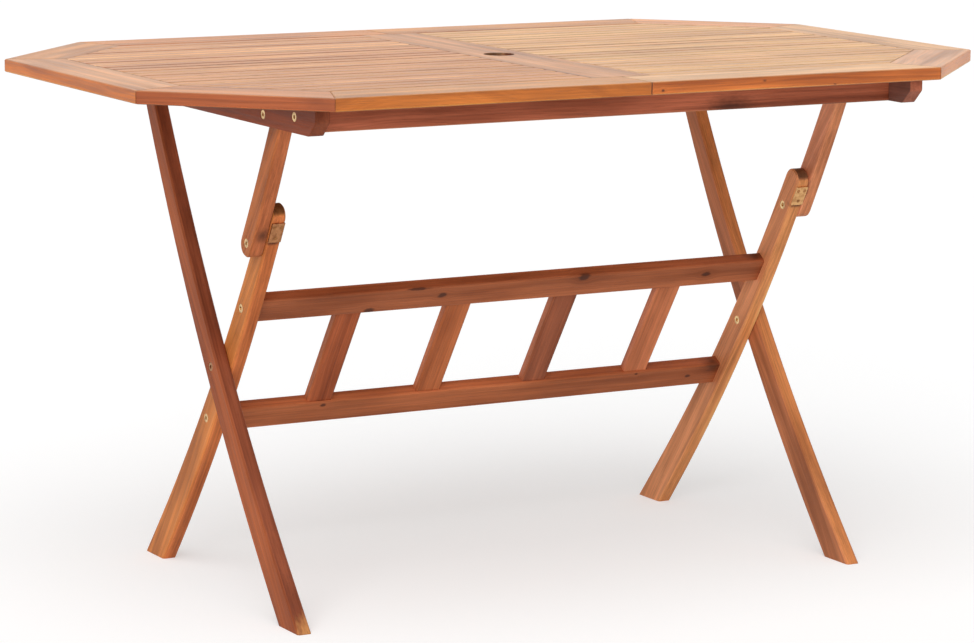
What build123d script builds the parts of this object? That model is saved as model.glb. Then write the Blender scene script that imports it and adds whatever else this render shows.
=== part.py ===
from build123d import *
import math
import os

# Folding garden table of oiled hardwood: an octagonal slatted top on two crossed leg pairs.
# The near legs are jointed at a knee, so both pairs swing up flat under the top.
# Frame: origin on the floor under the middle of the top, +X along its length,
# +Y towards the far long side, +Z up. All sizes are millimetres.

# Top
top_length = 1350.0
top_width = 850.0
table_height = 750.0
corner_cut = 195.0
board_thickness = 18.0
border_width = 80.0
centre_board_width = 95.0
parasol_hole_diameter = 45.0
slat_count = 22
slat_gap = 5.0
board_bevel = 1.2
slat_bevel = 1.2

# Rails under the top
rail_thickness = 21.0
cross_rail_depth = 39.0
cross_rail_inset = 50.0
cross_rail_end_cut = 19.0
cross_rail_end_round = 5.0
rail_inset = 191.0
long_rail_depth = 39.0
long_rail_offset = 312.0
rail_bolt_drop = 17.5
rail_bevel = 1.5

# Crossed legs: the axis of a leg is one gentle arc through pivot, crossing and foot,
# and its last stretch above the foot is straight
leg_thickness = 21.0
leg_top_width = 30.0
leg_foot_width = 48.0
leg_bevel = 2.2
layer_gap = 0.5
pivot_offset = 217.0
pivot_drop = 24.0
crossing_height = 326.5
foot_offset = 248.5
foot_straight = 60.0

# Knee of the jointed leg
knee_height = 518.5
knee_overlap_above = 63.0
knee_overlap_below = 20.0

# Ladder frame between the lower legs
upper_stretcher_height = 415.0
lower_stretcher_height = 238.0
ladder_setback = 3.0
stretcher_width = 40.0
stretcher_thickness = 20.0
ladder_slat_count = 4
ladder_bay_width = 178.5
ladder_slat_width = 40.0
ladder_slat_thickness = 14.0
stretcher_bevel = 1.8

# Brass fittings
bolt_diameter = 8.0
bolt_head_diameter = 13.0
bolt_head_thickness = 3.0
socket_across_flats = 5.0
socket_depth = 2.0
head_sink = 0.2
nut_thickness = 3.0
thread_diameter = 5.0
thread_length = 14.0
rail_bolt_length = 62.0
stretcher_bolt_length = 70.0
barrel_nut_diameter = 12.0
barrel_nut_length = 16.0
barrel_nut_inset = 18.0
plate_width = 19.0
plate_length = 32.0
plate_thickness = 2.0
plate_rise = 29.0
plate_screw_diameter = 3.0
plate_screw_head_diameter = 5.6
plate_screw_head_thickness = 1.2
plate_screw_length = 14.0
plate_screw_spread_x = 5.5
plate_screw_spread_y = 9.0

# Clearances
running_clearance = 0.05
fixed_clearance = 0.02
nut_gap = 0.3
plate_seat = 0.05

# Places worked out from the sizes above
underside = table_height - board_thickness
half_length = top_length / 2
half_width = top_width / 2
mitre_step = border_width * (math.sqrt(2) - 1)
field_half_length = half_length - border_width
field_half_width = half_width - border_width
pivot_height = underside - pivot_drop
rail_outer_x = half_length - rail_inset
rail_inner_x = rail_outer_x - rail_thickness
leg_outer_x = rail_inner_x - layer_gap
leg_inner_x = leg_outer_x - leg_thickness
lower_outer_x = leg_inner_x - layer_gap
lower_inner_x = lower_outer_x - leg_thickness
rail_bolt_height = underside - rail_bolt_drop


# Small helpers
def x_bar(diameter, x_start, x_end, y, z):
    """Round bar along X between two x positions."""
    length = abs(x_end - x_start)
    middle = (x_start + x_end) / 2
    return Pos(middle, y, z) * Rot(0, 90, 0) * Cylinder(diameter / 2, length)


def bolt(face_x, length, y, z):
    """Barrel bolt along X with its hex-socket head sunk just under the face at face_x."""
    head_x = face_x - head_sink
    head = x_bar(bolt_head_diameter, head_x, head_x - bolt_head_thickness, y, z)
    shank = x_bar(bolt_diameter, head_x - bolt_head_thickness, face_x - length, y, z)
    socket_plane = Plane(origin=(head_x, y, z), x_dir=(0, 1, 0), z_dir=(1, 0, 0))
    socket_outline = RegularPolygon(socket_across_flats / 2, 6, major_radius=False)
    socket = extrude(socket_plane * socket_outline, -socket_depth)
    return head + shank - socket


def bolt_hole(face_x, depth, y, z, clearance):
    """Hole for a bolt shank with a counterbore for its head at face_x."""
    seat_x = face_x - head_sink - bolt_head_thickness
    seat = x_bar(bolt_head_diameter + 2 * clearance, face_x, seat_x, y, z)
    return seat + x_bar(bolt_diameter + 2 * clearance, face_x, face_x - depth, y, z)


def nut(face_x, y, z):
    """Round flanged nut on the inner face at face_x."""
    outer_x = face_x - nut_gap
    disc = x_bar(bolt_head_diameter, outer_x, outer_x - nut_thickness, y, z)
    return disc - x_bar(bolt_diameter + 2 * fixed_clearance, outer_x, outer_x - nut_thickness, y, z)


def turned_inward(shape):
    """A fitting of the lower leg turned round, with its head on the leg's inner face."""
    return mirror(shape, about=Plane.YZ.offset((lower_inner_x + lower_outer_x) / 2))


def left_of(shape):
    """The same piece at the left end of the table."""
    return mirror(shape, about=Plane.YZ)


def far_of(shape):
    """The same piece on the far side of the table."""
    return mirror(shape, about=Plane.XZ)


def save(name, *solids):
    """Write one named piece, or a group of like pieces, to its own file."""
    shape = solids[0] if len(solids) == 1 else Compound(list(solids))
    export_step(shape, f"parts/{name}.step")


os.makedirs("parts", exist_ok=True)


# Border boards of the octagonal top, mitred at the eight corners
def board(corners):
    """Flat board of the top with its upper and lower edges eased."""
    outline = make_face(Polyline(*corners, close=True))
    blank = extrude(Plane.XY.offset(underside) * outline, board_thickness)
    flats = blank.faces().filter_by(Axis.Z)
    return chamfer(flats.edges(), board_bevel)


end_outer = (half_length, half_width - corner_cut)
end_inner = (field_half_length, half_width - corner_cut - mitre_step)
side_outer = (half_length - corner_cut, half_width)
side_inner = (half_length - corner_cut - mitre_step, field_half_width)

end_board = board([
    (end_outer[0], -end_outer[1]),
    end_outer,
    end_inner,
    (end_inner[0], -end_inner[1]),
])
corner_board = board([end_outer, side_outer, side_inner, end_inner])
side_board = board([side_outer, (0, half_width), (0, field_half_width), side_inner])

save("end_board_right", end_board)
save("end_board_left", left_of(end_board))
save("corner_board_far_right", corner_board)
save("corner_board_far_left", left_of(corner_board))
save("corner_board_near_right", far_of(corner_board))
save("corner_board_near_left", far_of(left_of(corner_board)))
save("side_board_far_right", side_board)
save("side_board_far_left", left_of(side_board))
save("side_board_near_right", far_of(side_board))
save("side_board_near_left", far_of(left_of(side_board)))

# Centre board across the top with the parasol hole
centre_half = centre_board_width / 2
centre_board = board([
    (-centre_half, -field_half_width),
    (centre_half, -field_half_width),
    (centre_half, field_half_width),
    (-centre_half, field_half_width),
])
parasol_hole = Pos(0, 0, underside) * Cylinder(parasol_hole_diameter / 2, 4 * board_thickness)
save("centre_board", centre_board - parasol_hole)

# Lengthwise slats of each half, cut to the octagonal field inside the border
slat_width = (2 * field_half_width - (slat_count + 1) * slat_gap) / slat_count
field_outline = Polyline(
    (centre_half, -field_half_width),
    (side_inner[0], -side_inner[1]),
    (end_inner[0], -end_inner[1]),
    end_inner,
    side_inner,
    (centre_half, field_half_width),
    close=True,
)
field = extrude(Plane.XY.offset(underside) * make_face(field_outline), board_thickness)


def slat(index):
    """One slat from the centre board to the border, with its long upper edges bevelled."""
    y = -field_half_width + slat_gap + slat_width / 2 + index * (slat_width + slat_gap)
    section = Pos(y, underside + board_thickness / 2) * Rectangle(slat_width, board_thickness)
    upper_corners = section.vertices().group_by(Axis.Y)[-1]
    section = chamfer(upper_corners, slat_bevel)
    return extrude(Plane.YZ * section, field_half_length) & field


right_slats = [slat(index) for index in range(slat_count)]
save("slats_right", *[piece.solid() for piece in right_slats])
save("slats_left", *[left_of(piece).solid() for piece in right_slats])

# Cross rails under the ends of the slats, drilled for the leg pivots and the rail bolts
rail_middle = underside - cross_rail_depth / 2
cross_rail_length = top_width - 2 * cross_rail_inset
cross_rail_outline = Pos(0, rail_middle) * Rectangle(cross_rail_length, cross_rail_depth)
lower_corners = cross_rail_outline.vertices().group_by(Axis.Y)[0]
cross_rail_outline = chamfer(lower_corners, cross_rail_end_cut)
cut_corners = [corner for row in cross_rail_outline.vertices().group_by(Axis.Y)[:-1] for corner in row]
cross_rail_outline = fillet(cut_corners, cross_rail_end_round)
cross_rail = extrude(Plane.YZ.offset(rail_inner_x) * cross_rail_outline, rail_thickness)
for y in (-pivot_offset, pivot_offset):
    cross_rail -= bolt_hole(rail_outer_x, 2 * rail_thickness, y, pivot_height, fixed_clearance)
for y in (-long_rail_offset, long_rail_offset):
    cross_rail -= bolt_hole(rail_outer_x, 2 * rail_thickness, y, rail_bolt_height, fixed_clearance)
save("cross_rail_right", cross_rail)
save("cross_rail_left", left_of(cross_rail))

# Long rails between the cross rails, each end drilled for its bolt and barrel nut
long_rail_middle = underside - long_rail_depth / 2
long_rail = Box(2 * rail_inner_x, rail_thickness, long_rail_depth)
long_rail = Pos(0, -long_rail_offset, long_rail_middle) * long_rail
lower_edges = long_rail.edges().filter_by(Axis.X).group_by(Axis.Z)[0]
long_rail = chamfer(lower_edges, rail_bevel)
rail_bolt_end = rail_outer_x - rail_bolt_length
rail_nut_x = rail_bolt_end + barrel_nut_inset
nut_seat_radius = barrel_nut_diameter / 2 + fixed_clearance
nut_seat_length = barrel_nut_length + 2 * fixed_clearance
rail_nut_place = Pos(rail_nut_x, -long_rail_offset, rail_bolt_height) * Rot(90, 0, 0)
rail_bolt_bore = x_bar(
    bolt_diameter + 2 * fixed_clearance,
    rail_inner_x,
    rail_bolt_end - fixed_clearance,
    -long_rail_offset,
    rail_bolt_height,
)
rail_end_cut = rail_bolt_bore + rail_nut_place * Cylinder(nut_seat_radius, nut_seat_length)
long_rail = long_rail - rail_end_cut - left_of(rail_end_cut)
save("long_rail_near", long_rail)
save("long_rail_far", far_of(long_rail))

# Bolts and barrel nuts that hold the rail frame together
rail_bolt = bolt(rail_outer_x, rail_bolt_length, -long_rail_offset, rail_bolt_height)
rail_nut = rail_nut_place * Cylinder(barrel_nut_diameter / 2, barrel_nut_length)
rail_nut -= rail_bolt_bore
save("rail_bolts", rail_bolt, left_of(rail_bolt), far_of(rail_bolt), left_of(far_of(rail_bolt)))
save("rail_barrel_nuts", rail_nut, left_of(rail_nut), far_of(rail_nut), left_of(far_of(rail_nut)))

# Leg pivots: bolts through the cross rails and the leg tops
pivot_bolt_length = rail_outer_x - leg_inner_x + nut_gap + nut_thickness
pivot_bolt = bolt(rail_outer_x, pivot_bolt_length, -pivot_offset, pivot_height)
pivot_nut = nut(leg_inner_x, -pivot_offset, pivot_height)
save("pivot_bolts", pivot_bolt, left_of(pivot_bolt), far_of(pivot_bolt), left_of(far_of(pivot_bolt)))
save("pivot_nuts", pivot_nut, left_of(pivot_nut), far_of(pivot_nut), left_of(far_of(pivot_nut)))


# Leg form: a tapered band along an arc, worked out for the leg whose top is on the far side
def circle_through(a, b, c):
    """Centre and radius of the circle through three points."""
    d = 2 * (a[0] * (b[1] - c[1]) + b[0] * (c[1] - a[1]) + c[0] * (a[1] - b[1]))
    squares = [p[0] ** 2 + p[1] ** 2 for p in (a, b, c)]
    x = squares[0] * (b[1] - c[1]) + squares[1] * (c[1] - a[1]) + squares[2] * (a[1] - b[1])
    y = squares[0] * (c[0] - b[0]) + squares[1] * (a[0] - c[0]) + squares[2] * (b[0] - a[0])
    centre = (x / d, y / d)
    return centre, math.dist(centre, a)


pivot_point = (pivot_offset, pivot_height)
crossing_point = (0.0, crossing_height)
foot_point = (-foot_offset, 0.0)
arc_centre, arc_radius = circle_through(pivot_point, crossing_point, foot_point)


def arc_angle(height):
    """Angle on the leg's arc at a height above the floor."""
    return math.asin((height - arc_centre[1]) / arc_radius)


pivot_angle = arc_angle(pivot_height)
foot_angle = arc_angle(0)
leg_arc_length = arc_radius * (pivot_angle - foot_angle)
leg_bend_end = leg_arc_length - foot_straight


def along_leg(height):
    """Distance along the leg's axis from the top pivot to a height."""
    return arc_radius * (pivot_angle - arc_angle(height))


def width_at(distance):
    """Leg width at a distance along its axis."""
    return leg_top_width + (leg_foot_width - leg_top_width) * distance / leg_arc_length


def leg_point(distance, side):
    """Point at a distance along the leg, side times half its width off the axis."""
    angle = pivot_angle - distance / arc_radius
    radius = arc_radius + side * width_at(distance) / 2
    return (arc_centre[0] + radius * math.cos(angle), arc_centre[1] + radius * math.sin(angle))


def leg_end(distance, sense):
    """Tip of a rounded leg end; sense is -1 for the upper end and 1 for the lower end."""
    angle = pivot_angle - distance / arc_radius
    reach = sense * width_at(distance) / 2
    axis = leg_point(distance, 0)
    return (axis[0] + reach * math.sin(angle), axis[1] - reach * math.cos(angle))


def leg_blank(start, end, inner_x, has_foot):
    """Leg between two distances along its axis, ending round or running on straight to its foot."""
    middle = (start + end) / 2
    convex_edge = ThreePointArc(leg_point(start, 1), leg_point(middle, 1), leg_point(end, 1))
    concave_edge = ThreePointArc(leg_point(start, -1), leg_point(middle, -1), leg_point(end, -1))
    upper_end = ThreePointArc(leg_point(start, -1), leg_end(start, -1), leg_point(start, 1))
    outline = [convex_edge, concave_edge, upper_end]
    if has_foot:
        foot_length = foot_straight + leg_foot_width
        convex_foot = Line(convex_edge @ 1, convex_edge @ 1 + (convex_edge % 1) * foot_length)
        concave_foot = Line(concave_edge @ 1, concave_edge @ 1 + (concave_edge % 1) * foot_length)
        outline += [convex_foot, concave_foot, Line(convex_foot @ 1, concave_foot @ 1)]
    else:
        outline.append(ThreePointArc(leg_point(end, 1), leg_end(end, 1), leg_point(end, -1)))
    blank = extrude(Plane.YZ.offset(inner_x) * make_face(outline), leg_thickness)
    lowest_edges = blank.faces().sort_by(Axis.Z)[0].edges() if has_foot else []
    wide_edges = blank.faces().filter_by(Axis.X).edges()
    blank = chamfer([edge for edge in wide_edges if edge not in lowest_edges], leg_bevel)
    below_floor = Pos(0, 0, -top_width) * Box(2 * top_length, 2 * top_width, 2 * top_width)
    return blank - below_floor


knee_distance = along_leg(knee_height)
knee_half_width = width_at(knee_distance) / 2
knee_point = leg_point(knee_distance, 0)

# Outer legs: one long bent leg at each end, its foot on the near side
outer_leg = leg_blank(0, leg_bend_end, leg_inner_x, True)
outer_leg -= x_bar(bolt_diameter + 2 * running_clearance, leg_inner_x, leg_outer_x, *pivot_point)
outer_leg -= bolt_hole(leg_outer_x, leg_thickness, *crossing_point, fixed_clearance)
save("outer_leg_right", outer_leg)
save("outer_leg_left", left_of(outer_leg))

# Upper legs: short links from the near top pivot down to the knee
upper_end_distance = knee_distance + knee_overlap_below - knee_half_width
upper_leg = leg_blank(0, upper_end_distance, leg_inner_x, False)
upper_leg -= x_bar(bolt_diameter + 2 * running_clearance, leg_inner_x, leg_outer_x, *pivot_point)
upper_leg -= bolt_hole(leg_outer_x, leg_thickness, *knee_point, fixed_clearance)
upper_leg = far_of(upper_leg)
save("upper_leg_right", upper_leg)
save("upper_leg_left", left_of(upper_leg))

# Lower legs: from above the knee down to the far foot, inside the upper and outer legs
lower_start_distance = knee_distance - knee_overlap_above + knee_half_width
lower_leg = leg_blank(lower_start_distance, leg_bend_end, lower_inner_x, True)
lower_leg -= turned_inward(bolt_hole(lower_outer_x, leg_thickness, *knee_point, running_clearance))
lower_leg -= turned_inward(bolt_hole(lower_outer_x, leg_thickness, *crossing_point, fixed_clearance))


def ladder_centre(height):
    """Middle of a stretcher: on the jointed leg at a height, set back towards the far side."""
    distance = along_leg(height)
    y, z = leg_point(distance, -2 * ladder_setback / width_at(distance))
    return (-y, z)


upper_centre = ladder_centre(upper_stretcher_height)
lower_centre = ladder_centre(lower_stretcher_height)
ladder_length = math.dist(upper_centre, lower_centre)
ladder_rise_y = (upper_centre[0] - lower_centre[0]) / ladder_length
ladder_rise_z = (upper_centre[1] - lower_centre[1]) / ladder_length


def ladder_plane(x, share):
    """Plane of the ladder frame at x; share runs from 0 on the lower stretcher to 1 on the upper."""
    y = lower_centre[0] + share * ladder_rise_y * ladder_length
    z = lower_centre[1] + share * ladder_rise_z * ladder_length
    return Plane(origin=(x, y, z), x_dir=(1, 0, 0), z_dir=(0, -ladder_rise_z, ladder_rise_y))


# Bolts through the lower legs into barrel nuts in the stretchers
stretcher_bolt_end = lower_outer_x - stretcher_bolt_length
stretcher_nut_x = stretcher_bolt_end + barrel_nut_inset
stretcher_bolts = []
stretcher_nuts = []
stretcher_cuts = {}
lower_leg = far_of(lower_leg)
for share, centre in ((0, lower_centre), (1, upper_centre)):
    lower_leg -= bolt_hole(lower_outer_x, leg_thickness, *centre, fixed_clearance)
    bore_end = stretcher_bolt_end - fixed_clearance
    bore = x_bar(bolt_diameter + 2 * fixed_clearance, lower_inner_x, bore_end, *centre)
    nut_plane = ladder_plane(stretcher_nut_x, share)
    stretcher_cuts[share] = bore + nut_plane * Cylinder(nut_seat_radius, nut_seat_length)
    stretcher_bolts.append(bolt(lower_outer_x, stretcher_bolt_length, *centre))
    stretcher_nuts.append(nut_plane * Cylinder(barrel_nut_diameter / 2, barrel_nut_length) - bore)
save("stretcher_bolts", *stretcher_bolts, *[left_of(piece) for piece in stretcher_bolts])
save("stretcher_barrel_nuts", *stretcher_nuts, *[left_of(piece) for piece in stretcher_nuts])

# Brass plates on the near edge of the lower legs, above the knee, each held by three screws
plate_distance = knee_distance - plate_rise
plate_top_y, plate_top_z = leg_point(plate_distance - plate_length / 2, 1)
plate_foot_y, plate_foot_z = leg_point(plate_distance + plate_length / 2, 1)
plate_slope = math.atan2(plate_top_y - plate_foot_y, plate_top_z - plate_foot_z)
plate_mid_y, plate_mid_z = leg_point(plate_distance, 1)
plate_plane = Plane(
    origin=((lower_inner_x + lower_outer_x) / 2, -plate_mid_y, plate_mid_z),
    x_dir=(1, 0, 0),
    z_dir=(0, -math.cos(plate_slope), -math.sin(plate_slope)),
).offset(plate_seat)
plate = plate_plane * Pos(0, 0, plate_thickness / 2) * Box(plate_width, plate_length, plate_thickness)
screws = []
screw_places = (
    (-plate_screw_spread_x, plate_screw_spread_y),
    (plate_screw_spread_x, plate_screw_spread_y),
    (0, -plate_screw_spread_y),
)
for x, y in screw_places:
    head_z = plate_thickness - plate_screw_head_thickness / 2
    shank_z = plate_thickness - plate_screw_length / 2
    place = plate_plane * Pos(x, y, 0)
    head = place * Pos(0, 0, head_z) * Cylinder(plate_screw_head_diameter / 2, plate_screw_head_thickness)
    shank = place * Pos(0, 0, shank_z) * Cylinder(plate_screw_diameter / 2, plate_screw_length)
    head_seat_radius = plate_screw_head_diameter / 2 + fixed_clearance
    shank_hole_radius = plate_screw_diameter / 2 + fixed_clearance
    seat = place * Pos(0, 0, head_z) * Cylinder(head_seat_radius, plate_screw_head_thickness)
    hole = place * Pos(0, 0, shank_z) * Cylinder(shank_hole_radius, plate_screw_length + 2 * fixed_clearance)
    screws.append(head + shank)
    plate = plate - seat - hole
    lower_leg -= hole
save("knee_plate_right", plate)
save("knee_plate_left", left_of(plate))
save("knee_plate_screws", *screws, *[left_of(piece) for piece in screws])
save("lower_leg_right", lower_leg)
save("lower_leg_left", left_of(lower_leg))

# Stretchers of the ladder frame between the lower legs
for name, share in (("lower_stretcher", 0), ("upper_stretcher", 1)):
    bar = Box(2 * lower_inner_x, stretcher_width, stretcher_thickness)
    bar = chamfer(bar.edges().filter_by(Axis.X), stretcher_bevel)
    stretcher = ladder_plane(0, share) * bar
    stretcher = stretcher - stretcher_cuts[share] - left_of(stretcher_cuts[share])
    save(name, stretcher)

# Ladder slats between the stretchers; a parasol pole passes between the middle two
ladder_slat_length = ladder_length - stretcher_width
for index in range(ladder_slat_count):
    x = (index - (ladder_slat_count - 1) / 2) * ladder_bay_width
    bar = Box(ladder_slat_width, ladder_slat_length, ladder_slat_thickness)
    bar = chamfer(bar.edges().filter_by(Axis.Y), stretcher_bevel)
    save(f"ladder_slat_{index + 1}", ladder_plane(x, 0.5) * bar)

# Knee bolts: fixed in the upper legs and screwed into the sleeve nuts that the lower legs turn on
knee_y, knee_z = -knee_point[0], knee_point[1]
thread_end = lower_outer_x - thread_length
knee_bolt = bolt(leg_outer_x, leg_outer_x - lower_outer_x, knee_y, knee_z)
knee_bolt += x_bar(thread_diameter, lower_outer_x, thread_end, knee_y, knee_z)
thread_bore = x_bar(
    thread_diameter + 2 * fixed_clearance,
    lower_outer_x,
    thread_end - fixed_clearance,
    knee_y,
    knee_z,
)
knee_nut = turned_inward(bolt(lower_outer_x, leg_thickness, knee_y, knee_z)) - thread_bore
save("knee_bolts", knee_bolt, left_of(knee_bolt))
save("knee_nuts", knee_nut, left_of(knee_nut))

# Crossing bolts: the bolt in the outer leg and its sleeve nut in the lower leg meet at the seam
crossing_bolt = bolt(leg_outer_x, leg_thickness, *crossing_point)
crossing_nut = turned_inward(bolt(lower_outer_x, leg_thickness, *crossing_point))
save("crossing_bolts", crossing_bolt, left_of(crossing_bolt))
save("crossing_nuts", crossing_nut, left_of(crossing_nut))
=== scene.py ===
import math
from collections import namedtuple

import bpy
from mathutils import Matrix, Vector


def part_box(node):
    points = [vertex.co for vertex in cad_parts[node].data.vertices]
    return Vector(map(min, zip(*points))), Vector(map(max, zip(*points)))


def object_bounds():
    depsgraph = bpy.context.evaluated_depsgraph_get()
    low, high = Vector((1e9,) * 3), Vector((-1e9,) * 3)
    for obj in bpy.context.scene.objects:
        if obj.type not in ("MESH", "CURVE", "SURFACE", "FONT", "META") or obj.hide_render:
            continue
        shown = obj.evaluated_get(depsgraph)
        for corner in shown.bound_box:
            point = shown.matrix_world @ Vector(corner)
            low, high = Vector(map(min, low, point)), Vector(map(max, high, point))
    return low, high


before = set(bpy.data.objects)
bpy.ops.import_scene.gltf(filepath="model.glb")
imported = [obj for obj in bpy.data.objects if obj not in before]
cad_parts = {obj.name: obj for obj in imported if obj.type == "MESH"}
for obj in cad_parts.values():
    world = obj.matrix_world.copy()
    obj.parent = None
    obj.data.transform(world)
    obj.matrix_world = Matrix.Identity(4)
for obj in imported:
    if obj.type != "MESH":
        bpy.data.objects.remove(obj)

cad_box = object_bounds()

# Border of the top
# Ten mitred boards of oiled acacia ring the slatted field: two ends, four corners and four sides.
# They are joined at the mitres and rest on the rails. Their edges are lightly rounded.


def srgb(red, green, blue):
    """Colour as seen on a screen, 0 to 255, as the linear value that a socket takes."""
    linear = []
    for value in (red, green, blue):
        share = value / 255
        linear.append(share / 12.92 if share < 0.04045 else ((share + 0.055) / 1.055) ** 2.4)
    return (*linear, 1.0)


def add_node(tree, kind, inputs=None, **settings):
    """One shader node with its settings; inputs holds plain values or sockets to link from."""
    made = tree.nodes.new("ShaderNode" + kind)
    for name, value in settings.items():
        setattr(made, name, value)
    for name, value in (inputs or {}).items():
        if isinstance(value, bpy.types.NodeSocket):
            tree.links.new(value, made.inputs[name])
        else:
            made.inputs[name].default_value = value
    return made


def math_of(tree, operation, *values):
    """Output of one Math node."""
    return add_node(tree, "Math", dict(enumerate(values)), operation=operation).outputs[0]


def vector_of(tree, operation, *vectors, output="Vector"):
    """Output of one Vector Math node; a length or a dot product is its Value."""
    return add_node(tree, "VectorMath", dict(enumerate(vectors)), operation=operation).outputs[output]


def axes_of(tree, vector):
    """X, Y and Z of a vector."""
    return add_node(tree, "SeparateXYZ", {0: vector}).outputs


def vector_from(tree, x, y, z):
    """Vector with the given X, Y and Z."""
    return add_node(tree, "CombineXYZ", {0: x, 1: y, 2: z}).outputs[0]


def ramp_of(tree, value, low, high, to_low=0.0, to_high=1.0):
    """Value stretched from low..high to to_low..to_high with soft ends."""
    inputs = {"Value": value, 1: low, 2: high, 3: to_low, 4: to_high}
    return add_node(tree, "MapRange", inputs, interpolation_type="SMOOTHSTEP").outputs[0]


def blend_of(tree, share, first, second, **settings):
    """Colour mixed from first to second."""
    inputs = {0: share, 6: first, 7: second}
    return add_node(tree, "Mix", inputs, data_type="RGBA", **settings).outputs[2]


def tint_of(tree, colour, tint):
    """Colour multiplied by a tint."""
    return blend_of(tree, 1.0, colour, tint, blend_type="MULTIPLY")


def noise_of(tree, place, waves, detail=2.0, roughness=0.5):
    """Noise with the given number of waves per metre along each axis."""
    scaled = vector_of(tree, "MULTIPLY", place, waves)
    inputs = {"Vector": scaled, "Scale": 1.0, "Detail": detail, "Roughness": roughness}
    return add_node(tree, "TexNoise", inputs).outputs[0]


def node_group(name, inputs, outputs):
    """Empty shader node group with named sockets; gives its tree, inside inputs and inside outputs."""
    tree = bpy.data.node_groups.new(name, "ShaderNodeTree")
    for socket_name, kind in inputs.items():
        tree.interface.new_socket(socket_name, in_out="INPUT", socket_type="NodeSocket" + kind)
    for socket_name, kind in outputs.items():
        tree.interface.new_socket(socket_name, in_out="OUTPUT", socket_type="NodeSocket" + kind)
    inside = tree.nodes.new("NodeGroupInput").outputs
    outside = tree.nodes.new("NodeGroupOutput").inputs
    return tree, inside, outside


def use_group(tree, group, inputs):
    """Outputs of a group placed in a tree with its own values."""
    return add_node(tree, "Group", inputs, node_tree=group).outputs


def make_grain_place():
    """Group: place on a piece with X along its grain, and masks of its end grain and its flanks."""
    tree, inside, outside = node_group(
        "grain_place",
        {"Centre": "Vector", "Along": "Vector", "Across": "Vector"},
        {"Place": "Vector", "End": "Float", "Flank": "Float"},
    )
    facing_start = 0.55
    facing_full = 0.85

    surface = add_node(tree, "TexCoord").outputs
    offset = vector_of(tree, "SUBTRACT", surface["Object"], inside["Centre"])
    through = vector_of(tree, "CROSS_PRODUCT", inside["Along"], inside["Across"])
    parts = []
    for direction in (inside["Along"], inside["Across"], through):
        parts.append(vector_of(tree, "DOT_PRODUCT", offset, direction, output="Value"))
    tree.links.new(vector_from(tree, *parts), outside["Place"])
    for output, direction in (("End", inside["Along"]), ("Flank", inside["Across"])):
        facing = vector_of(tree, "DOT_PRODUCT", surface["Normal"], direction, output="Value")
        mask = ramp_of(tree, math_of(tree, "ABSOLUTE", facing), facing_start, facing_full)
        tree.links.new(mask, outside[output])
    return tree


def make_grain_mark():
    """Group: grain bent round one knot or other mark, and the mask of the mark added to one before it.
    Marks include painted shadows and a painted highlight.
    """
    tree, inside, outside = node_group(
        "grain_mark",
        {
            "Place": "Vector", "Middle": "Vector", "Radius": "Float", "Stretch": "Float",
            "Blur": "Float", "Depth": "Float", "Mask": "Float",
        },
        {"Place": "Vector", "Mask": "Float"},
    )
    ragged_waves = (90, 240, 240)
    ragged_share = 0.9
    rim_start = 0.95
    rim_end = 1.6
    full_pull = 0.85
    pull_start = 0.6
    pull_end = 3.2

    x, y, z = axes_of(tree, vector_of(tree, "SUBTRACT", inside["Place"], inside["Middle"]))
    round_place = vector_from(tree, math_of(tree, "DIVIDE", x, inside["Stretch"]), y, z)
    reach = vector_of(tree, "LENGTH", round_place, output="Value")
    steps = math_of(tree, "DIVIDE", reach, inside["Radius"])
    pull = ramp_of(tree, steps, pull_start, pull_end, full_pull, 0.0)
    shift = vector_from(tree, 0.0, math_of(tree, "MULTIPLY", y, pull), math_of(tree, "MULTIPLY", z, pull))
    ragged = noise_of(tree, inside["Place"], ragged_waves)
    rim = math_of(tree, "MULTIPLY_ADD", ragged, ragged_share, steps)
    blur_start = math_of(tree, "SUBTRACT", rim_start, inside["Blur"])
    blur_end = math_of(tree, "ADD", rim_end, inside["Blur"])
    mark = ramp_of(tree, rim, blur_start, blur_end, inside["Depth"], 0.0)
    tree.links.new(vector_of(tree, "SUBTRACT", inside["Place"], shift), outside["Place"])
    tree.links.new(math_of(tree, "MAXIMUM", mark, inside["Mask"]), outside["Mask"])
    return tree


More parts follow.
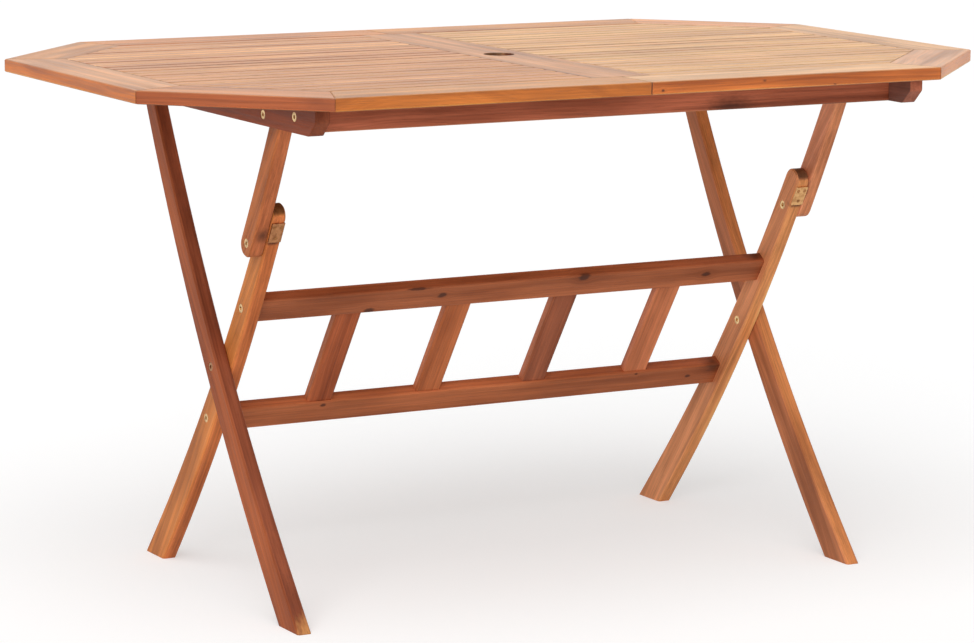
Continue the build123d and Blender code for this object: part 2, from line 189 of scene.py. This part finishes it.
def make_acacia_grain():
    """Group: oiled acacia with growth bands, fibres, pores and dark heartwood streaks, and with painted
    highlights and shadows from its marks and edges.
    """
    tree, inside, outside = node_group(
        "acacia_grain",
        {
            "Place": "Vector", "End": "Float", "Flank": "Float", "Edge": "Float", "Painted lower highlight": "Float",
            "Dark mark and painted shadow": "Float", "Painted highlight": "Float", "Seed": "Float",
            "Face tone": "Color", "Flank tone": "Color", "End tone": "Color",
            "Bands": "Float", "Streaks": "Float", "Gloss": "Float",
            "End shade": "Float", "Edge shade": "Float", "Painted lower highlight shade": "Float",
        },
        {"Colour": "Color", "Roughness": "Float", "Height": "Float"},
    )
    seed_shift = (23.0, 17.0, 19.0)
    seed_wave = 7.7
    pith_spread = (0.0, 0.12, 0.10)
    pith_start = (0.0, -0.06, 0.02)
    bands_per_metre = 190.0
    sway_waves = (2.2, 5, 5)
    sway_width = 0.07
    fibre_waves = (8, 430, 430)
    pore_waves = (38, 1700, 1700)
    plank_waves = (1.5, 42, 42)
    cloud_waves = (5, 18, 18)
    heart_waves = (1.5, 60, 60)
    light_share = (1.40, 1.46, 1.52, 1.0)
    middle_share = (0.58, 0.49, 0.42, 1.0)
    dark_share = (0.42, 0.34, 0.30, 1.0)
    figure_of_planks = 0.40
    figure_of_bands = 0.22
    figure_of_clouds = 0.38
    streak_strength = 0.8
    dark_mark_and_shadow_strength = 0.8
    painted_highlight_strength = 0.85
    # Knots, stains and painted shadows all darken towards this colour.
    dark_mark_and_shadow_colour = srgb(58, 29, 20)
    # Golden colour of the painted highlight at a leg's toe.
    painted_highlight_colour = srgb(208, 144, 84)
    oiled_roughness = 0.45

    draws = add_node(tree, "TexWhiteNoise", {"W": inside["Seed"]}, noise_dimensions="1D").outputs["Color"]
    moved = vector_of(tree, "ADD", inside["Place"], vector_of(tree, "MULTIPLY", draws, seed_shift))
    sway = math_of(tree, "MULTIPLY_ADD", noise_of(tree, moved, sway_waves), sway_width, -sway_width / 2)
    pith = vector_of(tree, "MULTIPLY_ADD", draws, pith_spread, pith_start)
    from_pith = axes_of(tree, vector_of(tree, "SUBTRACT", inside["Place"], pith))
    across = vector_from(tree, 0.0, math_of(tree, "ADD", from_pith[1], sway), from_pith[2])
    ring = vector_of(tree, "LENGTH", across, output="Value")
    first_band = math_of(tree, "MULTIPLY", inside["Seed"], seed_wave)
    wave = math_of(tree, "MULTIPLY_ADD", ring, bands_per_metre, first_band)
    bands = add_node(
        tree, "TexNoise", {"W": wave, "Scale": 1.0, "Detail": 3.0, "Roughness": 0.6}, noise_dimensions="1D"
    ).outputs[0]
    band = ramp_of(tree, bands, 0.34, 0.66)
    fibres = ramp_of(tree, noise_of(tree, moved, fibre_waves, 3.0, 0.6), 0.3, 0.7)
    pores = ramp_of(tree, noise_of(tree, moved, pore_waves, 1.0), 0.62, 0.74)
    planks = ramp_of(tree, noise_of(tree, moved, plank_waves), 0.38, 0.62)
    clouds = ramp_of(tree, noise_of(tree, moved, cloud_waves), 0.34, 0.66)
    heart = noise_of(tree, moved, heart_waves, 3.0, 0.6)
    heart_limit = math_of(tree, "MULTIPLY_ADD", inside["Streaks"], -0.3, 0.78)
    streak = ramp_of(tree, math_of(tree, "SUBTRACT", heart, heart_limit), 0.0, 0.14)

    tone = blend_of(tree, inside["Flank"], inside["Face tone"], inside["Flank tone"])
    tone = blend_of(tree, inside["End"], tone, inside["End tone"])
    light = tint_of(tree, tone, light_share)
    middle = tint_of(tree, tone, middle_share)
    dark = tint_of(tree, tone, dark_share)
    figure = math_of(tree, "MULTIPLY", band, figure_of_bands)
    figure = math_of(tree, "MULTIPLY_ADD", planks, figure_of_planks, figure)
    figure = math_of(tree, "MULTIPLY_ADD", clouds, figure_of_clouds, figure)
    colour = blend_of(tree, math_of(tree, "MULTIPLY", figure, inside["Bands"]), light, middle)
    colour = blend_of(tree, math_of(tree, "MULTIPLY", streak, streak_strength), colour, dark)
    painted_highlights = math_of(tree, "MULTIPLY", inside["Painted highlight"], painted_highlight_strength)
    colour = blend_of(tree, painted_highlights, colour, painted_highlight_colour)

    shade = math_of(tree, "MULTIPLY_ADD", fibres, 0.24, 0.88)
    shade = math_of(tree, "MULTIPLY", shade, math_of(tree, "MULTIPLY_ADD", pores, -0.25, 1.0))
    for mask in ("End", "Edge", "Painted lower highlight"):
        share = math_of(tree, "MULTIPLY_ADD", inside[mask], inside[mask + " shade"], 1.0)
        shade = math_of(tree, "MULTIPLY", shade, share)
    grey = add_node(tree, "CombineColor", {0: shade, 1: shade, 2: shade}).outputs[0]
    dark_mark_and_shadow = math_of(tree, "MULTIPLY", inside["Dark mark and painted shadow"], dark_mark_and_shadow_strength)
    colour = blend_of(tree, dark_mark_and_shadow, tint_of(tree, colour, grey), dark_mark_and_shadow_colour, clamp_result=True)

    roughness = math_of(tree, "MULTIPLY_ADD", fibres, 0.10, oiled_roughness)
    roughness = math_of(tree, "SUBTRACT", roughness, inside["Gloss"])
    roughness = math_of(tree, "MULTIPLY_ADD", inside["End"], 0.15, roughness)
    roughness = math_of(tree, "MULTIPLY_ADD", inside["Edge"], 0.08, roughness)
    height = math_of(tree, "SUBTRACT", math_of(tree, "MULTIPLY_ADD", band, 0.3, fibres), pores)
    tree.links.new(colour, outside["Colour"])
    tree.links.new(roughness, outside["Roughness"])
    tree.links.new(height, outside["Height"])
    return tree


def make_edge_rounding():
    """Group: normal that rounds the edges, and masks of all edges and of upright faces' lower edges, on
    which highlight and shade are painted.
    """
    tree, inside, outside = node_group(
        "edge_rounding",
        {"Radius": "Float"},
        {"Normal": "Vector", "Edge": "Float", "Painted lower highlight": "Float"},
    )
    rounded = add_node(tree, "Bevel", {"Radius": inside["Radius"]}, samples=6).outputs[0]
    flat = add_node(tree, "NewGeometry").outputs["True Normal"]
    turned = math_of(tree, "SUBTRACT", 1.0, vector_of(tree, "DOT_PRODUCT", rounded, flat, output="Value"))
    # Mask of the lower edges of upright faces, where a highlight is painted.
    lean = math_of(tree, "ABSOLUTE", axes_of(tree, flat)[2])
    upright_face = ramp_of(tree, lean, 0.1, 0.3, 1.0, 0.0)
    turned_down = ramp_of(tree, axes_of(tree, rounded)[2], -0.4, -0.08, 1.0, 0.0)
    tree.links.new(rounded, outside["Normal"])
    tree.links.new(ramp_of(tree, turned, 0.01, 0.14), outside["Edge"])
    tree.links.new(math_of(tree, "MULTIPLY", upright_face, turned_down), outside["Painted lower highlight"])
    return tree


grain_place = make_grain_place()
grain_mark = make_grain_mark()
acacia_grain = make_acacia_grain()
edge_rounding = make_edge_rounding()
grain_relief = 0.00025
relief_strength = 0.6


def new_material(name):
    """Material with an empty tree; gives the material, its tree and its Principled shader."""
    material = bpy.data.materials.new(name)
    material.use_nodes = True
    tree = material.node_tree
    tree.nodes.clear()
    shader = add_node(tree, "BsdfPrincipled")
    sink = add_node(tree, "OutputMaterial")
    tree.links.new(shader.outputs[0], sink.inputs["Surface"])
    return material, tree, shader


def dress(node, material):
    """Give a CAD node its material."""
    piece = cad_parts[node]
    piece.data.materials.clear()
    piece.data.materials.append(material)


def middle_of(node):
    """Middle of a node's box."""
    low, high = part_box(node)
    return (Vector(low) + Vector(high)) / 2


# A mark is a knot, a stain, a painted shadow, a faint darker patch or a painted highlight, drawn out along
# the grain by its stretch.
Mark = namedtuple("Mark", "middle radius stretch")
# A finish is the radius of the edges, the shine of the oil and values of the grain group, some of which
# paint highlights on the edges.
WoodFinish = namedtuple("WoodFinish", "edge_radius shine grain")


def finish_grain(tree, shader, spot, finish, values):
    """Oiled acacia on a shader: colour, roughness and relief from the grain group."""
    edge = use_group(tree, edge_rounding, {"Radius": finish.edge_radius})
    grain = use_group(tree, acacia_grain, {
        "End": spot["End"], "Flank": spot["Flank"], "Edge": edge["Edge"], "Painted lower highlight": edge["Painted lower highlight"],
        **finish.grain, **values,
    })
    relief = add_node(tree, "Bump", {
        "Strength": relief_strength, "Distance": grain_relief,
        "Height": grain["Height"], "Normal": edge["Normal"],
    })
    shader.inputs["Specular IOR Level"].default_value = finish.shine
    tree.links.new(grain["Colour"], shader.inputs["Base Color"])
    tree.links.new(grain["Roughness"], shader.inputs["Roughness"])
    tree.links.new(relief.outputs[0], shader.inputs["Normal"])


def dress_acacia(
    node, along, across, tones, seed, finish,
    end_tone=None, knots=(), stains_and_painted_shadows=(), shades=(), painted_highlights=(),
):
    """Acacia on one piece with a tone for its faces, one for its flanks and perhaps one for its ends.

    The grain runs along the piece and bends round knots alone.
    """
    material, tree, shader = new_material("acacia_" + node)
    centre = middle_of(node)
    along = Vector(along).normalized()
    across = Vector(across)
    across = (across - along * across.dot(along)).normalized()
    through = along.cross(across)
    spot = use_group(tree, grain_place, {"Centre": centre, "Along": along, "Across": across})

    def lay_marks(marks, blur, depth=1.0, mask=0.0):
        """Grain and mask after a list of marks has been laid on them."""
        place = spot["Place"]
        for mark in marks:
            offset = Vector(mark.middle) - centre
            inner = (offset.dot(along), offset.dot(across), offset.dot(through))
            laid = use_group(tree, grain_mark, {
                "Place": place, "Middle": inner, "Radius": mark.radius, "Stretch": mark.stretch,
                "Blur": blur, "Depth": depth, "Mask": mask,
            })
            place = laid["Place"]
            mask = laid["Mask"]
        return place, mask

    shaded = lay_marks(shades, blur=0.9, depth=0.35)[1]
    stained_and_shadowed = lay_marks(stains_and_painted_shadows, blur=0.6, mask=shaded)[1]
    place, marked_and_shadowed = lay_marks(knots, blur=0.0, mask=stained_and_shadowed)
    pale = lay_marks(painted_highlights, blur=0.2)[1]
    face_tone, flank_tone = tones
    finish_grain(tree, shader, spot, finish, {
        "Place": place, "Dark mark and painted shadow": marked_and_shadowed, "Painted highlight": pale, "Seed": seed,
        "Face tone": srgb(*face_tone), "Flank tone": srgb(*flank_tone),
        "End tone": srgb(*(end_tone or face_tone)),
    })
    dress(node, material)


lengthwise = (1, 0, 0)
sideways = (0, 1, 0)
upright = (0, 0, 1)
to_far_right = (1, 1, 0)
to_far_left = (-1, 1, 0)
near_rim = cad_box[0][1]
rim_middle = middle_of("side_board_near_left")[2]
seam_line = Mark((0.0, near_rim, rim_middle), 0.0125, 0.11)
board_marks = {
    "side_board_near_left": {"knots": [seam_line]},
    "side_board_near_right": {
        "knots": [seam_line, Mark((0.0176, near_rim, 0.738), 0.0020, 1.4)],
        "stains_and_painted_shadows": [
            Mark((0.182, near_rim, 0.744), 0.0014, 2.0),
            Mark((0.299, near_rim, 0.734), 0.0013, 1.8),
        ],
    },
    "corner_board_near_left": {"shades": [Mark((-0.4967, -0.4083, 0.7473), 0.012, 1.5)]},
}
# The boards' upright rims get a painted highlight along their lower edges, and all their edges are a little
# darker.
board_finish_and_lower_highlight = WoodFinish(0.0022, 0.36, {
    "Bands": 1.0, "Streaks": 0.3, "Gloss": 0.13,
    "End shade": -0.3, "Edge shade": -0.35, "Painted lower highlight shade": 2.4,
})
boards = {
    "end_board_left": (sideways, lengthwise, ((212, 149, 97), (206, 110, 26)), 1.3),
    "end_board_right": (sideways, lengthwise, ((212, 159, 107), (206, 132, 74)), 2.6),
    "corner_board_near_left": (to_far_left, to_far_right, ((198, 128, 74), (166, 84, 42)), 3.1),
    "corner_board_near_right": (to_far_right, to_far_left, ((209, 153, 111), (233, 146, 83)), 4.7),
    "corner_board_far_left": (to_far_right, to_far_left, ((204, 137, 76), (204, 126, 70)), 5.2),
    "corner_board_far_right": (to_far_left, to_far_right, ((215, 145, 90), (196, 116, 68)), 6.9),
    "side_board_near_left": (lengthwise, sideways, ((205, 140, 78), (194, 109, 43)), 7.4),
    "side_board_near_right": (lengthwise, sideways, ((223, 170, 116), (210, 115, 51)), 8.8),
    "side_board_far_left": (lengthwise, sideways, ((201, 128, 67), (200, 116, 60)), 9.5),
    "side_board_far_right": (lengthwise, sideways, ((206, 137, 73), (190, 108, 58)), 10.1),
}
for node, (along, across, tones, seed) in boards.items():
    dress_acacia(node, along, across, tones, seed, board_finish_and_lower_highlight, **board_marks.get(node, {}))

# Centre board
# One board across the middle of the top, with the round parasol hole cut through it.
# It carries the inner ends of the slats and is set between the two long sides.
centre_tones = ((199, 137, 86), (110, 60, 36))
centre_finish = board_finish_and_lower_highlight._replace(grain={**board_finish_and_lower_highlight.grain, "End shade": -0.7})
top_face = cad_box[1][2]
centre_shade = Mark((-0.0093, -0.2287, top_face), 0.012, 4.0)
dress_acacia("centre_board", sideways, lengthwise, centre_tones, 11.7, centre_finish, shades=[centre_shade])

# Slats of the top
# Twenty-two narrow acacia slats in each half, laid lengthwise with an even gap between them.
# Each is cut from another plank, so its tone and its growth bands differ from its neighbours',
# and the gaps along its edges carry painted shade, deep on some slats and faint, with painted light, on
# others.
slat_count = 22
slat_gap = 0.005
slat_finish = board_finish_and_lower_highlight._replace(grain={"Bands": 0.7, "Streaks": 0.3, "Gloss": 0.13, "End shade": -0.3})
# The slats' sides show only in the gaps. A light and a dark side colour and darker edges, mixed by a number
# drawn for each slat, paint the light and shade of the gaps.
lit_gap_flank = (246, 204, 160)
shaded_gap_flank = (120, 66, 36)
gap_edge_shade = -0.65
slat_halves = {
    "slats_left": ((202, 138, 85), (195, 130, 82), 3.5),
    "slats_right": ((216, 164, 104), (208, 151, 98), 61.5),
}


def make_slat_lane():
    """Group: middle of the slat that a point lies on, and a number drawn for that slat."""
    tree, inside, outside = node_group(
        "slat_lane",
        {"Middle": "Vector", "First": "Float", "Pitch": "Float", "Seed": "Float"},
        {"Centre": "Vector", "Draw": "Float"},
    )
    y = axes_of(tree, add_node(tree, "TexCoord").outputs["Object"])[1]
    steps = math_of(tree, "DIVIDE", math_of(tree, "SUBTRACT", y, inside["First"]), inside["Pitch"])
    lane = math_of(tree, "FLOOR", steps)
    half_steps = math_of(tree, "ADD", lane, 0.5)
    lane_y = math_of(tree, "MULTIPLY_ADD", half_steps, inside["Pitch"], inside["First"])
    middle = axes_of(tree, inside["Middle"])
    number = math_of(tree, "ADD", lane, inside["Seed"])
    draw = add_node(tree, "TexWhiteNoise", {"W": number}, noise_dimensions="1D").outputs["Value"]
    tree.links.new(vector_from(tree, middle[0], lane_y, middle[2]), outside["Centre"])
    tree.links.new(draw, outside["Draw"])
    return tree


slat_lane = make_slat_lane()


def dress_slats(node, pale_tone, brown_tone, seed):
    """Acacia on one half's slats, each with its own tone, growth bands and painted light and shade in the
    gaps along its edges.
    """
    seed_spread = 41.0
    gap_shade_spread = 7.0
    material, tree, shader = new_material("acacia_" + node)
    low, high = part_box(node)
    pitch = (high[1] - low[1] + slat_gap) / slat_count
    lane = use_group(tree, slat_lane, {
        "Middle": middle_of(node), "First": low[1] - slat_gap / 2, "Pitch": pitch, "Seed": seed,
    })
    spot = use_group(tree, grain_place, {
        "Centre": lane["Centre"], "Along": Vector(lengthwise), "Across": Vector(sideways),
    })
    # How deep the painted shade of this slat's gap is.
    gap_shade = math_of(tree, "FRACT", math_of(tree, "MULTIPLY", lane["Draw"], gap_shade_spread))
    face_tone = blend_of(tree, lane["Draw"], srgb(*pale_tone), srgb(*brown_tone))
    finish_grain(tree, shader, spot, slat_finish, {
        "Place": spot["Place"],
        "Seed": math_of(tree, "MULTIPLY_ADD", lane["Draw"], seed_spread, seed),
        "Face tone": face_tone,
        "Flank tone": blend_of(tree, gap_shade, srgb(*lit_gap_flank), srgb(*shaded_gap_flank)),
        "End tone": face_tone,
        "Edge shade": math_of(tree, "MULTIPLY", gap_shade, gap_edge_shade),
    })
    dress(node, material)


for node, (pale_tone, brown_tone, seed) in slat_halves.items():
    dress_slats(node, pale_tone, brown_tone, seed)

# Rails under the top
# Two cross rails with cut lower corners carry the ends of the slats, and two long rails join them.
# They are darker acacia, bolted together with bolts and barrel nuts.
rail_finish = WoodFinish(0.0025, 0.2, {
    "Bands": 1.0, "Streaks": 0.5, "Gloss": 0.0, "End shade": -0.1, "Edge shade": 0.05,
})
left_rail_tones = ((144, 68, 34), (129, 63, 33))
left_rail_end = (147, 78, 50)
right_rail_tones = ((129, 85, 72), (128, 76, 56))
right_rail_end = (192, 111, 82)
long_rail_tones = ((194, 110, 78), (196, 128, 83))
right_rail_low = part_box("cross_rail_right")[0]
# Painted shadow of the top on the near end of the right cross rail's inner face.
right_rail_painted_shadow = Mark((right_rail_low[0] - 0.006, right_rail_low[1] + 0.012, 0.720), 0.016, 1.2)
near_rail_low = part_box("long_rail_near")[0]
near_rail_stain = Mark((0.194, near_rail_low[1], near_rail_low[2]), 0.018, 1.9)
rails = {
    "cross_rail_left": (sideways, left_rail_tones, 21.2, {"end_tone": left_rail_end}),
    "cross_rail_right": (
        sideways, right_rail_tones, 22.8, {"end_tone": right_rail_end, "shades": [right_rail_painted_shadow]}
    ),
    "long_rail_near": (lengthwise, long_rail_tones, 23.4, {"stains_and_painted_shadows": [near_rail_stain]}),
    "long_rail_far": (lengthwise, long_rail_tones, 24.9, {}),
}
for node, (along, tones, seed, marks) in rails.items():
    dress_acacia(node, along, upright, tones, seed, rail_finish, **marks)

# Legs
# Bent, tapered acacia legs sawn from plank: two long outer ones, and two near ones jointed at the
# knee from a short upper and a long lower piece. They turn on brass bolts through rails and legs.
# The edges of the legs, stretchers and ladder slats are painted lighter: a painted highlight on their
# rounded edges. Their ends are darker end grain.
leg_finish_and_edge_highlight = WoodFinish(0.003, 0.2, {
    "Bands": 1.0, "Streaks": 0.3, "Gloss": 0.0, "End shade": -0.75, "Edge shade": 0.25,
})
outer_low, outer_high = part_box("outer_leg_left")
outer_slope = (0, outer_high[1] - outer_low[1], outer_high[2] - outer_low[2])
near_slope = (0, -outer_slope[1], outer_slope[2])
plate_low, plate_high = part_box("knee_plate_left")
plate_y, plate_z = middle_of("knee_plate_left")[1:]
under_plate_y = plate_high[1] + 0.001
under_plate_z = plate_low[2] - 0.0015
inner_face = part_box("upper_leg_right")[0][0]
lower_leg_x = inner_face - 0.010
foot_shades = [
    Mark((inner_face, y, z), 0.016, 4.0)
    for y, z in ((-0.2375, 0.0321), (-0.1908, 0.0731), (-0.1628, 0.1059))
]
leg_marks = {
    # Painted highlight on the toe of the left outer leg.
    "outer_leg_left": {"painted_highlights": [Mark((outer_high[0], outer_low[1], 0.0), 0.020, 1.5)]},
    "outer_leg_right": {"shades": foot_shades},
    # A dark spot by the left knee plate, and painted shadow in the gap between the upper and lower left
    # legs.
    "upper_leg_left": {"stains_and_painted_shadows": [
        Mark((-0.450, -0.1451, 0.5314), 0.008, 1.3),
        Mark((-inner_face, under_plate_y + 0.007, under_plate_z - 0.0067), 0.0030, 4.0),
    ]},
    # Painted shadow in the gap between the upper and lower right legs, along the plate.
    "upper_leg_right": {"stains_and_painted_shadows": [Mark((inner_face, plate_y + 0.0025, plate_z + 0.0017), 0.0030, 9.0)]},
    # Painted shadow below the knee plates' lower edges on the lower legs.
    "lower_leg_left": {"stains_and_painted_shadows": [Mark((-lower_leg_x, under_plate_y, under_plate_z), 0.012, 0.25)]},
    "lower_leg_right": {"stains_and_painted_shadows": [Mark((lower_leg_x, under_plate_y, under_plate_z), 0.012, 0.25)]},
}
# The right legs stand under the top, and their tones are written lighter than the left legs' to offset its
# shade: painted light. The left outer leg's darker flank tone is partly its wood and partly painted shade
# of the top on its near face.
legs = {
    "outer_leg_left": (outer_slope, ((172, 87, 40), (144, 76, 49)), 31.3),
    "outer_leg_right": (outer_slope, ((190, 117, 76), (209, 131, 76)), 32.9),
    "upper_leg_left": (near_slope, ((191, 110, 59), (204, 117, 72)), 33.6),
    "upper_leg_right": (near_slope, ((252, 171, 130), (230, 147, 100)), 34.4),
    "lower_leg_left": (near_slope, ((219, 135, 70), (229, 132, 75)), 35.8),
    "lower_leg_right": (near_slope, ((225, 149, 101), (241, 160, 98)), 36.5),
}
for node, (slope, tones, seed) in legs.items():
    dress_acacia(node, slope, sideways, tones, seed, leg_finish_and_edge_highlight, **leg_marks[node])

# Ladder frame
# Two knotty stretchers are bolted between the lower legs and four short slats are set between
# them. The frame keeps the legs square, and a parasol pole passes between its middle slats.
ladder_slope = (middle_of("upper_stretcher") - middle_of("lower_stretcher")).normalized()
stretcher_half_thickness = 0.010


def on_stretcher(node, x, up, out=stretcher_half_thickness):
    """Point on or in a stretcher: along it, up its width and out towards its near face, from its middle."""
    near = Vector(lengthwise).cross(ladder_slope)
    return middle_of(node) + near * out + ladder_slope * up + Vector((x, 0, 0))


stretchers = {
    "upper_stretcher": (41.7, ((176, 100, 62), (180, 100, 62)), [
        (-0.2396, -0.0150, 0.0055, 1.6), (-0.1689, 0.0195, 0.0030, 7.0), (-0.1259, 0.0035, 0.0055, 1.5),
        (0.1071, 0.0161, 0.0070, 1.5), (0.3232, 0.0025, 0.0055, 1.6),
    ]),
    "lower_stretcher": (42.2, ((183, 104, 63), (187, 104, 63)), [
        (-0.2618, 0.0136, 0.0036, 1.5), (0.2696, 0.0158, 0.0026, 1.5), (0.3675, 0.0006, 0.0036, 1.6),
    ]),
}
# Painted shade on the stretchers' right ends, where they meet the right lower leg.
painted_end_shade = {
    "upper_stretcher": Mark(on_stretcher("upper_stretcher", 0.411, 0.020, -0.003), 0.009, 2.0),
    "lower_stretcher": Mark(on_stretcher("lower_stretcher", 0.410, 0.017, 0.006), 0.013, 1.3),
}
for node, (seed, tones, knot_places) in stretchers.items():
    knots = [Mark(on_stretcher(node, x, up), radius, stretch) for x, up, radius, stretch in knot_places]
    dress_acacia(
        node, lengthwise, ladder_slope, tones, seed, leg_finish_and_edge_highlight, knots=knots, stains_and_painted_shadows=[painted_end_shade[node]]
    )
ladder_slats = {
    "ladder_slat_1": (((181, 95, 56), (173, 99, 60)), 44.3),
    "ladder_slat_2": (((209, 120, 72), (203, 118, 74)), 45.6),
    "ladder_slat_3": (((164, 92, 61), (182, 108, 74)), 46.9),
    "ladder_slat_4": (((211, 126, 83), (213, 130, 92)), 48.2),
}
for node, (tones, seed) in ladder_slats.items():
    dress_acacia(node, ladder_slope, lengthwise, tones, seed, leg_finish_and_edge_highlight)

# Brass bolts and nuts
# Barrel bolts with round heads and hex sockets, their nuts and sleeve nuts, turned from brass.
# The heads are rubbed bright by handling, and the crossing bolts have more of a brown film.


def make_brass_patina():
    """Group: turned brass with a thin brown film in patches and fine scratches."""
    tree, inside, outside = node_group(
        "brass_patina",
        {"Bright": "Color", "Film": "Color", "Amount": "Float"},
        {"Colour": "Color", "Roughness": "Float", "Height": "Float"},
    )
    cloud_waves = (160, 160, 160)
    scratch_waves = (700, 2600, 2600)
    bright_roughness = 0.24
    film_roughness = 0.25

    place = add_node(tree, "TexCoord").outputs["Object"]
    cloud = ramp_of(tree, noise_of(tree, place, cloud_waves, 3.0), 0.4, 0.7)
    film = math_of(tree, "MULTIPLY", cloud, inside["Amount"])
    roughness = math_of(tree, "MULTIPLY_ADD", film, film_roughness, bright_roughness)
    tree.links.new(blend_of(tree, film, inside["Bright"], inside["Film"]), outside["Colour"])
    tree.links.new(roughness, outside["Roughness"])
    tree.links.new(noise_of(tree, place, scratch_waves), outside["Height"])
    return tree


brass_patina = make_brass_patina()
brass_edge = 0.0005
scratch_depth = 0.00005
scratch_strength = 0.3


def brass_material(name, bright, film, amount):
    """Brass with its own brightness and film."""
    material, tree, shader = new_material(name)
    patina = use_group(tree, brass_patina, {"Bright": srgb(*bright), "Film": srgb(*film), "Amount": amount})
    edge = use_group(tree, edge_rounding, {"Radius": brass_edge})
    scratches = add_node(tree, "Bump", {
        "Strength": scratch_strength, "Distance": scratch_depth,
        "Height": patina["Height"], "Normal": edge["Normal"],
    })
    shader.inputs["Metallic"].default_value = 1.0
    tree.links.new(patina["Colour"], shader.inputs["Base Color"])
    tree.links.new(patina["Roughness"], shader.inputs["Roughness"])
    tree.links.new(scratches.outputs[0], shader.inputs["Normal"])
    return material


bolt_brass = brass_material("brass_bolts", (228, 192, 138), (128, 86, 50), 0.6)
brown_brass = brass_material("brown_brass", (168, 118, 74), (100, 62, 38), 0.8)
bright_nodes = (
    "rail_bolts", "rail_barrel_nuts", "pivot_bolts", "pivot_nuts", "crossing_nuts",
    "knee_bolts", "knee_nuts", "stretcher_bolts", "stretcher_barrel_nuts",
)
for node in bright_nodes:
    dress(node, bolt_brass)
dress("crossing_bolts", brown_brass)

# Knee plates
# A small brass plate on the near edge of each lower leg, just above the knee, held by three screws.
# It is rolled sheet, duller than the bolts.
plate_film = 0.7
plate_tones = {
    "knee_plate_left": ((180, 126, 86), (136, 88, 56)),
    "knee_plate_right": ((216, 168, 114), (168, 116, 70)),
    "knee_plate_screws": ((168, 116, 72), (110, 68, 38)),
}
for node, (bright, film) in plate_tones.items():
    dress(node, brass_material("brass_" + node, bright, film, plate_film))

# Studio
# A wide pale floor that is clear from below, a white surround that metal also mirrors, and two large
# soft lamps: the main one high at the front left and a weaker one low at the front left.
white = (1.0, 1.0, 1.0, 1.0)
floor_grey = (0.60, 0.60, 0.60, 1.0)
floor_lift = 0.46
ambient = 0.42
floor_half = 40.0
floor_corners = [(-floor_half, -floor_half, 0), (floor_half, -floor_half, 0)]
floor_corners += [(floor_half, floor_half, 0), (-floor_half, floor_half, 0)]
floor_mesh = bpy.data.meshes.new("floor")
floor_mesh.from_pydata(floor_corners, [], [(0, 1, 2, 3)])
floor = bpy.data.objects.new("floor", floor_mesh)
bpy.context.scene.collection.objects.link(floor)


def seen_ray(tree):
    """One for rays from the camera, mirrors and glass; nought for the rays that carry light."""
    path = add_node(tree, "LightPath").outputs
    seen = math_of(tree, "MAXIMUM", path["Is Camera Ray"], path["Is Glossy Ray"])
    return math_of(tree, "MAXIMUM", seen, path["Is Transmission Ray"])


floor_material, floor_tree, floor_shader = new_material("pale_floor")
floor_shader.inputs["Base Color"].default_value = floor_grey
floor_shader.inputs["Roughness"].default_value = 0.9
floor_shader.inputs["Specular IOR Level"].default_value = 0.0
floor_shader.inputs["Emission Color"].default_value = white
floor_glow = math_of(floor_tree, "MULTIPLY", seen_ray(floor_tree), floor_lift)
floor_tree.links.new(floor_glow, floor_shader.inputs["Emission Strength"])
from_below = add_node(floor_tree, "NewGeometry").outputs["Backfacing"]
floor_tree.links.new(math_of(floor_tree, "SUBTRACT", 1.0, from_below), floor_shader.inputs["Alpha"])
floor_mesh.materials.append(floor_material)

world = bpy.data.worlds.new("white_surround")
bpy.context.scene.world = world
world.use_nodes = True
surround = world.node_tree.nodes["Background"]
surround.inputs["Color"].default_value = white
level = math_of(world.node_tree, "MULTIPLY_ADD", seen_ray(world.node_tree), 1.0 - ambient, ambient)
world.node_tree.links.new(level, surround.inputs["Strength"])


def soft_lamp(name, towards, strength, spread):
    """Distant soft lamp: the direction it stands in, its strength and how wide it looks in degrees."""
    lamp_data = bpy.data.lights.new(name, "SUN")
    lamp_data.energy = strength
    lamp_data.angle = math.radians(spread)
    lamp = bpy.data.objects.new(name, lamp_data)
    lamp.rotation_euler = Vector(towards).to_track_quat("Z", "Y").to_euler()
    bpy.context.scene.collection.objects.link(lamp)


soft_lamp("overhead_lamp", towards=(-0.30, -0.35, 0.88), strength=1.55, spread=60)
soft_lamp("front_lamp", towards=(-0.60, -0.75, 0.15), strength=1.4, spread=50)

# Camera
# A long lens a little above table height, looking along the table from its near left side.
# Its place, its turn and its focal length in pixels were fitted to the photograph.
photo_width = 974
camera_place = (-2.630, -4.690, 1.276)
camera_yaw = math.radians(29.13)
camera_pitch = math.radians(9.71)
camera_roll = math.radians(0.45)
focal_pixels = 3710
camera_data = bpy.data.cameras.new("camera")
camera_data.sensor_width = 36.0
camera_data.lens = focal_pixels / photo_width * camera_data.sensor_width
camera = bpy.data.objects.new("camera", camera_data)
turn = Matrix.Rotation(-camera_yaw, 4, "Z") @ Matrix.Rotation(math.pi / 2 - camera_pitch, 4, "X")
camera.matrix_world = Matrix.Translation(camera_place) @ turn @ Matrix.Rotation(camera_roll, 4, "Z")
bpy.context.scene.collection.objects.link(camera)
bpy.context.scene.camera = camera
bpy.context.scene.view_settings.view_transform = "Standard"
